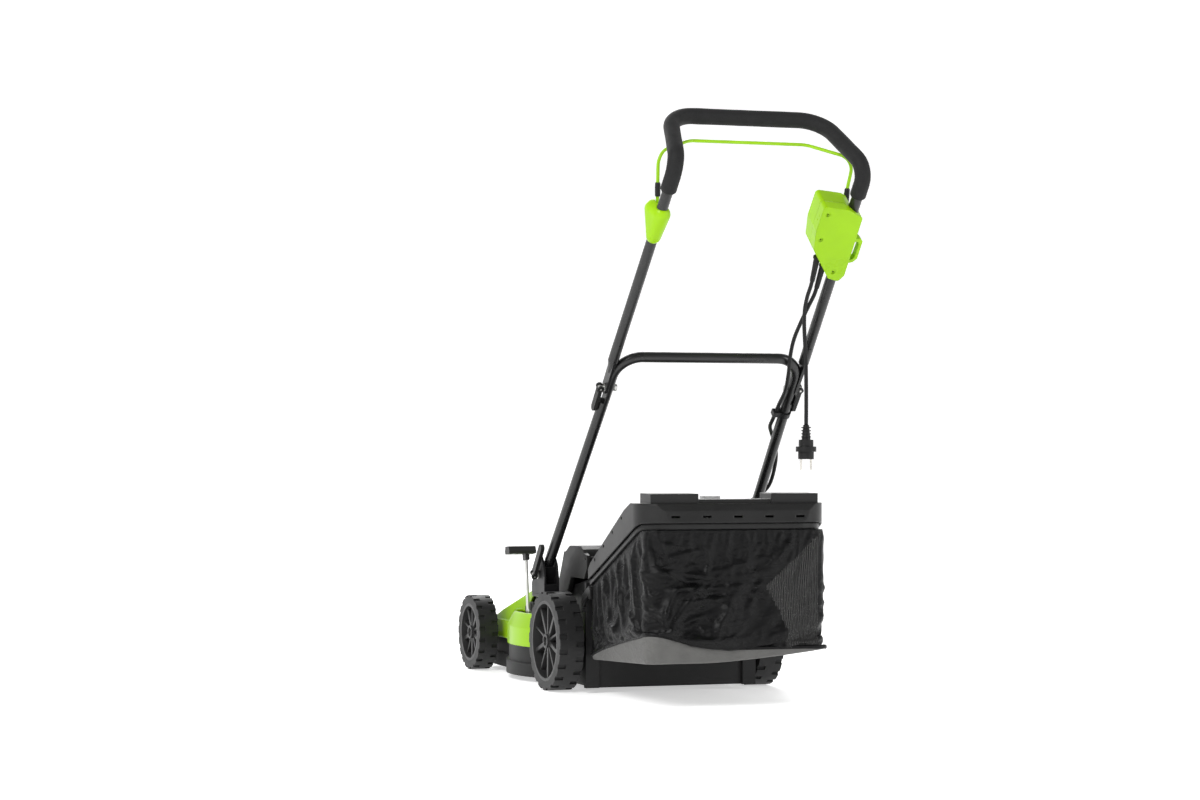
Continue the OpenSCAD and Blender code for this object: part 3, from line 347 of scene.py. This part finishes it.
def make(name, points, faces, material, body, smooth=True):
    mesh = bpy.data.meshes.new(name)
    mesh.from_pydata([tuple(p) for p in points], [], faces)
    mesh.materials.append(materials[material])
    for f in mesh.polygons:
        f.use_smooth = smooth
    mesh.validate()
    piece = bpy.data.objects.new(name, mesh)
    scene.collection.objects.link(piece)
    if body:
        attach(piece, body)
    return piece


def route(points, steps):
    """Points along the smooth curve through points, the same curve as the CAD cable's."""
    out = []
    last = len(points) - 1
    for k in range(steps + 1):
        t = last * k / steps
        i = min(int(t), last - 1)
        f = t - i
        p, q = points[max(i - 1, 0)], points[i]
        s, e = points[i + 1], points[min(i + 2, last)]
        out.append(0.5 * (2 * q + (s - p) * f + (2 * p - 5 * q + 4 * s - e) * f * f
                          + (3 * q - p - 3 * s + e) * f ** 3))
    return out


def tube(name, line, radius, material, body, sides=20, radii=None):
    """A closed round tube along line, turned as little as possible from ring to ring."""
    points, faces = [], []
    side = Vector((1, 0, 0))
    n = len(line)
    for i, p in enumerate(line):
        way = (line[min(i + 1, n - 1)] - line[max(i - 1, 0)]).normalized()
        side = (side - way * side.dot(way)).normalized()
        other = way.cross(side)
        r = radii[i] if radii else radius
        points += [p + (side * math.cos(a) + other * math.sin(a)) * r
                   for a in [2 * math.pi * k / sides for k in range(sides)]]
    for i in range(n - 1):
        for k in range(sides):
            m = (k + 1) % sides
            faces.append((i * sides + k, i * sides + m, (i + 1) * sides + m, (i + 1) * sides + k))
    faces += [tuple(range(sides - 1, -1, -1)), tuple((n - 1) * sides + k for k in range(sides))]
    return make(name, points, faces, material, body)


# ---------------------------------------------------------------- cables

mains = [at(*p) for p in [(143, -383, 740), (144, -373, 729), (143, -362, 713), (142, -354, 692), (143, -349, 668),
                          (145, -347, 640), (147, -347, 608), (148, -347, 570), (148, -348, 530), (148, -348, 488)]]
mains_line = route(mains, 60)
mains_cord = tube("mains_lead", mains_line, 0.0035, "cable_rubber", "upper_handle")
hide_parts("mains_cord")

motor = [at(*p) for p in [(156, -372.5, 728.4), (155, -364, 716), (151, -348, 696), (146, -326, 668),
                          (143, -304, 640), (144, -286, 612), (149, -266, 580)]]
motor += [on_handle(*p) for p in [
    (155, 470, -17), (160, 426, -3), (160.5, 401, 0), (161.5, 380, 4), (165.5, 358, 12), (176, 337, 17.5),
    (187.5, 315, 16), (196, 290, 9.5), (199.5, 258, 4.5), (200, 225, 3), (197.5, 200, 9), (189, 178, 16),
    (177, 160, 18), (165.5, 142, 16), (157, 124, 13), (151, 106, 10.5)]]
motor += [at(147, 30.5, 281), at(144.5, 36.5, 269), at(144, 38.6, 257.5)]
motor_line = route(motor, 160)
CLIP, LOW = 58, 112  # indices on motor_line at the clip, and where the cable nears the handle's hinge
upper_flex = tube("motor_lead_upper", motor_line[:CLIP + 1], 0.0035, "cable_rubber", None)
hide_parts("motor_cable")
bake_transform(upper_flex)
lower_flex = tube("motor_lead_lower", motor_line[CLIP:], 0.0035, "cable_rubber", None)
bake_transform(lower_flex)

# ---------------------------------------------------------------- foam grip


def bent_path(points, bends, gap=0.004):
    """Points along straight runs joined by true circular bends."""
    line = [points[0]]
    for i in range(1, len(points) - 1):
        p = points[i]
        u = (points[i - 1] - p).normalized()
        v = (points[i + 1] - p).normalized()
        angle = math.acos(max(-1, min(1, u.dot(v))))
        trim = bends[i - 1] * math.tan((math.pi - angle) / 2)
        middle = p + (u + v).normalized() * math.hypot(bends[i - 1], trim)
        e1 = (p + u * trim - middle).normalized()
        swing = math.pi - angle
        steps = max(6, int(bends[i - 1] * swing / gap))
        line += [middle + (e1 * math.cos(swing * k / steps) - u * math.sin(swing * k / steps)) * bends[i - 1]
                 for k in range(steps + 1)]
    line.append(points[-1])
    dense = [line[0]]
    for a, b in zip(line, line[1:]):
        parts = max(1, round((b - a).length / gap))
        dense += [a.lerp(b, (k + 1) / parts) for k in range(parts)]
    return dense


top_of_leg = (926 - 207) / math.cos(LEAN)
grip = [on_handle(173.6, 894), on_handle(172.3, top_of_leg), at(140.3, -423.2, 1015.6), at(-140.3, -423.2, 1015.6),
        on_handle(-172.3, top_of_leg), on_handle(-173.6, 894)]
grip_line = bent_path(grip, [0.031, 0.053, 0.053, 0.031])


def grip_radius(i):
    """The grip's radius at a point of its line, with rounded ends and a slightly uneven skin."""
    end = min(i, len(grip_line) - 1 - i) * 0.004
    rounded = 0.014 if end > 0.004 else 0.0112 + 0.0028 * math.sqrt(max(0.0, 1 - (1 - end / 0.004) ** 2))
    return rounded + 0.00035 * noise.noise(grip_line[i] * 35)


foam = tube("foam_sleeve", grip_line, 0.014, "foam", "upper_handle", sides=28,
            radii=[grip_radius(i) for i in range(len(grip_line))])
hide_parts("foam_grip")

# ---------------------------------------------------------------- sleeves at the bail's feet

for side, name in ((-1, "left"), (1, "right")):
    low, high = at(side * 174, -456.9, 873.8), at(side * 174.9, -459.7, 897.5)
    steps = [low.lerp(high, k / 24) for k in range(25)]
    tube(f"bail_sleeve_{name}", steps, 0.0048, "clip_plastic", "bail_bar",
         radii=[0.0048 - 0.0007 * min(1, abs(k - 12) / 12) ** 6 + (0.0003 if k % 6 == 3 else 0) for k in range(25)])

# ---------------------------------------------------------------- grass bag

BAG_MID = at(0, -242.6, 0).y  # the middle of the bag, front to back


def rim_height(y):
    """Top edge of the bag's wall at y millimetres from the rear axle."""
    knots = [(-112, 196.5), (-120, 200), (-362, 305), (-402, 307)]
    for (a, za), (b, zb) in zip(knots, knots[1:]):
        if y >= b:
            return za + (zb - za) * (a - y) / (a - b)
    return knots[-1][1]


def plan_line(half, y0, y1, r, gap):
    """The bag's outline seen from above, from the left of the mouth round to the right of it, in millimetres."""
    sides = round((y0 - y1 - r) / gap)
    left = [(-half, y0 + (y1 + r - y0) * k / sides) for k in range(sides)]
    corner = [(-half + r - r * math.cos(a), y1 + r - r * math.sin(a))
              for a in [k * math.pi / 20 for k in range(10)]]
    rear_n = round((2 * half - 2 * r) / gap)
    rear = [(-half + r + (2 * half - 2 * r) * k / rear_n, y1) for k in range(rear_n)]
    first = left + corner + rear
    return first + [(-x, y) for x, y in reversed(left + corner)]


def hem_height(x, y):
    """Top edge of the grey base panel: up along the left side to the rear corner, and down along the rear."""
    back = max(0.0, min(1.0, (-116 - y) / 286))
    side = 76 + 56 * back ** 0.8 if x < 0 else 76 + 28 * back
    rear = 104 + 27 * math.exp(-(max(0.0, x + 166) / 76) ** 2)
    blend = max(0.0, min(1.0, (-372 - y) / 22))
    return side * (1 - blend) + rear * blend


def base_height(x, y):
    """Bottom edge of the grey base panel."""
    back = max(0.0, min(1.0, (-112 - y) / 290))
    lift = 20 * max(0.0, (x + 60) / 226) ** 1.4
    return 64 + 14 * back + lift * back


ROWS = 66
outline = plan_line(166, -113.5, -398, 24, 4)
wall, wall_faces = [], []
for j in range(ROWS + 1):
    v = j / ROWS
    for x, y in outline:
        top = rim_height(y)
        low = hem_height(x, y) - 4
        wall.append(at(x, y - (3 * v if y < -374 else 0), top + (low - top) * v))
width = len(outline)
for j in range(ROWS):
    for i in range(width - 1):
        a = j * width + i
        wall_faces.append((a, a + 1, a + width + 1, a + width))
bag_wall = make("bag_wall", wall, wall_faces, "bag_nylon", None)


def ridge(p, sharp=3):
    """Crumpled cloth: narrow ridges between broad dents."""
    bent = p + noise.noise_vector(p * 0.6) * 0.7
    return max(0.0, 1 - 2.4 * abs(noise.noise(bent))) ** sharp


def crease(a, b, length, wide):
    """A long narrow fold that is sharp on one side and slopes away on the other."""
    across = b / (wide if b > 0 else wide * 2.6)
    return math.exp(-(a / length) ** 2 - abs(across) ** 1.4)


R = math.radians
# centre (mm), angle, half length, half width and height of each fold
REAR_FOLDS = [
    (-128, 285, R(-12), 40, 5, 6), (-96, 270, R(10), 55, 5, 6), (-55, 258, R(16), 62, 5, -5), (-20, 246, R(12), 60, 6, 6),
    (20, 262, R(4), 60, 6, 5), (50, 240, R(14), 46, 6, 5), (-140, 240, R(4), 36, 4, 7), (-120, 228, R(-26), 34, 4, 6),
    (-96, 214, R(8), 48, 4, 5), (-60, 222, R(-4), 60, 5, -5), (-15, 216, R(4), 66, 4, 6), (10, 200, R(-5), 60, 4, -4),
    (-40, 196, R(9), 66, 5, 6), (-128, 190, R(62), 40, 5, 7), (-108, 170, R(52), 50, 5, 7), (-140, 160, R(76), 40, 4, 6),
    (-90, 150, R(30), 46, 5, -5), (-60, 168, R(20), 56, 6, 6), (-30, 150, R(10), 60, 6, 4), (52, 206, R(-28), 30, 5, 5),
    (-10, 128, R(2), 90, 5, 4), (-84, 132, R(-16), 50, 5, 5), (70, 262, R(50), 60, 16, 8), (30, 222, R(54), 50, 14, -6),
    (-22, 178, R(64), 50, 13, 7), (112, 240, R(58), 40, 5, -4), (120, 190, R(80), 44, 5, 4), (96, 150, R(12), 40, 5, 4),
]
SIDE_FOLDS = [
    (-128, 130, R(86), 44, 4, 6), (-142, 142, R(82), 52, 4, -5), (-158, 152, R(78), 56, 4, 6), (-178, 160, R(74), 60, 5, -5),
    (-206, 172, R(66), 66, 5, 6), (-240, 190, R(60), 62, 6, -5), (-272, 200, R(66), 60, 5, 7), (-304, 212, R(74), 60, 6, -5),
    (-336, 222, R(80), 66, 5, 7), (-366, 230, R(84), 60, 6, -5), (-250, 130, R(24), 60, 5, 4), (-330, 160, R(40), 50, 5, 5),
]


def fold(x, y, z):
    """How far the wall stands out at a point given in millimetres."""
    rear = y < -372
    run, folds = (x, REAR_FOLDS) if rear else (y, SIDE_FOLDS)
    total = 0.0
    for centre, height, angle, length, wide, amount in folds:
        dx, dz = run - centre, z - height
        total += 1.35 * amount * crease(dx * math.cos(angle) + dz * math.sin(angle),
                                 dz * math.cos(angle) - dx * math.sin(angle), length, wide)
    if rear:
        calm = 1 - 0.85 * math.exp(-((x - 38) / 36) ** 2 - ((z - 158) / 44) ** 2)
        crumple = 4.4 * ridge(Vector((x * 0.9 + z * 0.3, z * 2.3 - x * 0.35, 0)) * 0.011)
        crumple += 2.2 * ridge(Vector((x * 1.3 - z * 0.8, z * 1.9 + x * 0.5, 900)) * 0.021, 2)
    else:
        calm = 1
        crumple = 4.4 * ridge(Vector((y * 2.3 + z * 0.5, z * 0.8 - y * 0.3, 300 if x < 0 else 600)) * 0.012)
        crumple += 2.0 * ridge(Vector((y * 2.0 - z * 0.7, z * 1.1, 400 if x < 0 else 700)) * 0.024, 2)
    return total * calm + crumple * (0.35 + 0.65 * calm)


rest = [v.co.copy() for v in bag_wall.data.vertices]
held = bag_wall.vertex_groups.new(name="held")
for v, p in zip(bag_wall.data.vertices, rest):
    i, j = v.index % width, v.index // width
    ease = min(1.0, j / 7) * min(1.0, (ROWS - j) / 6) * min(1.0, i / 8, (width - 1 - i) / 8)
    side = outline[i]
    away = Vector((math.copysign(1, side[0]), 0, 0)) if side[1] > -374 else Vector((0, -1, 0))
    if -374 >= side[1] > -397.9:
        away = Vector((side[0] - math.copysign(142, side[0]), side[1] + 374, 0)).normalized()
    v.co += away * fold(p.x * 1000, (p.y + MID_Y) * 1000, p.z * 1000) * ease / 1000
    if j in (0, ROWS) or i in (0, width - 1):
        held.add([v.index], 1.0, "REPLACE")


def simulate(piece, group, frames, shrink, gravity, cap):
    """Lets a cloth piece settle, then keeps its shape and limits how far any point has moved."""
    start = [v.co.copy() for v in piece.data.vertices]
    modifier = piece.modifiers.new("cloth", "CLOTH")
    settings = modifier.settings
    settings.quality = 4
    settings.mass = 0.15
    settings.tension_stiffness = settings.compression_stiffness = 10
    settings.shear_stiffness = 3
    settings.bending_stiffness = 0.02
    settings.vertex_group_mass = group
    settings.pin_stiffness = 1.0
    settings.shrink_min = shrink
    settings.effector_weights.gravity = gravity
    modifier.collision_settings.use_self_collision = False
    modifier.point_cache.frame_start, modifier.point_cache.frame_end = 1, frames
    for f in range(1, frames + 1):
        scene.frame_set(f)
    depsgraph = bpy.context.evaluated_depsgraph_get()
    moved = [v.co.copy() for v in piece.evaluated_get(depsgraph).data.vertices]
    piece.modifiers.remove(modifier)
    scene.frame_set(1)
    for v, a, b in zip(piece.data.vertices, start, moved):
        step = b - a
        v.co = a + step * min(1.0, cap / max(step.length, 1e-9))


simulate(bag_wall, "held", 22, -0.03, 0.4, cap=0.008)
smooth = bag_wall.modifiers.new("subdivide", "SUBSURF")
smooth.levels = smooth.render_levels = 1
skin = bag_wall.modifiers.new("thickness", "SOLIDIFY")
skin.thickness = 0.0006
skin.offset = 0


def net_edge(z):
    """Left edge of the net window in the rear wall at height z, in millimetres."""
    if z > 216:
        return 48 + (z - 216) * 1.26
    return 48 + 40 * math.sin(math.pi / 2 * min(1, (216 - z) / 100))


# the net window: the wall's faces beyond the edge take the net's material
bag_wall.data.materials.append(materials["bag_mesh_cloth"])
for f in bag_wall.data.polygons:
    column = f.vertices[0] % width
    c = sum((rest[k] for k in f.vertices), Vector()) / len(f.vertices)
    if outline[column][1] < -397 and 158 > c.x * 1000 > net_edge(c.z * 1000):
        f.material_index = 1
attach(bag_wall, "grass_bag")
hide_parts("bag_fabric", "bag_mesh")


def ribbon(name, line, wide, thick, material, body):
    """A flat band along line, standing upright, with a small bead along its middle."""
    points, faces = [], []
    for i, p in enumerate(line):
        way = (line[min(i + 1, len(line) - 1)] - line[max(i - 1, 0)]).normalized()
        out = way.cross(Vector((0, 0, 1))).normalized()
        if out.dot(Vector((p.x, p.y - BAG_MID, 0))) < 0:
            out = -out
        tall = out.cross(way).normalized()
        for a, b in ((-0.5, 0), (-0.25, 0.9), (0.25, 0.9), (0.5, 0), (0.25, -0.4), (-0.25, -0.4)):
            points.append(p + tall * a * wide + out * b * thick)
    for i in range(len(line) - 1):
        for k in range(6):
            m = (k + 1) % 6
            faces.append((i * 6 + k, i * 6 + m, i * 6 + 6 + m, i * 6 + 6 + k))
    last = (len(line) - 1) * 6
    faces += [tuple(range(5, -1, -1)), tuple(last + k for k in range(6))]
    return make(name, points, faces, material, body)


def hem_out(x, y):
    """How far the hem stands out behind the rear wall: most at the right corner, where its lip shows."""
    return 4 + 5 * max(0.0, x / 166) ** 2 if y < -380 else 0


hem_line = [at(x * (1.006 + 0.02 * max(0.0, x / 166) ** 6), y - hem_out(x, y), hem_height(x, y) - 2) for x, y in outline]
hem = ribbon("bag_hem", hem_line, 0.008, 0.0022, "bag_nylon", "grass_bag")

# the grey base: floor of the bag, turned up at the rear and sides to the hem
base_points, base_faces = [], []
RINGS = 12
for j in range(RINGS + 1):
    v = j / RINGS
    for x, y in outline:
        high, low = hem_height(x, y), base_height(x, y)
        swell = math.sin(v * math.pi) * (4 if y < -380 else 2)
        pull = 1 - 0.035 * (1 - math.cos(v * math.pi / 2))
        z = high + (low - high) * math.sin(v * math.pi / 2)
        ripple = 0.8 * noise.noise(Vector((x * 0.03, y * 0.02, v * 2)))
        base_points.append(at(x * pull * (1.004 + 0.02 * max(0.0, x / 166) ** 6 * (1 - v)),
                              y - hem_out(x, y) * (1 - v) - swell + (1 - pull) * 120, z + ripple * math.sin(v * math.pi)))
for j in range(RINGS):
    for i in range(width - 1):
        a = j * width + i
        base_faces.append((a, a + 1, a + width + 1, a + width))
ring = RINGS * width
for i in range(width // 2):
    k = width - 1 - i
    if i + 1 < k - 1:
        base_faces.append((ring + i, ring + i + 1, ring + k - 1, ring + k))
base = make("bag_base", base_points, base_faces, "bottom_panel", "grass_bag")
thick = base.modifiers.new("thickness", "SOLIDIFY")
thick.thickness = 0.0012
thick.offset = 0
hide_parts("bag_bottom")
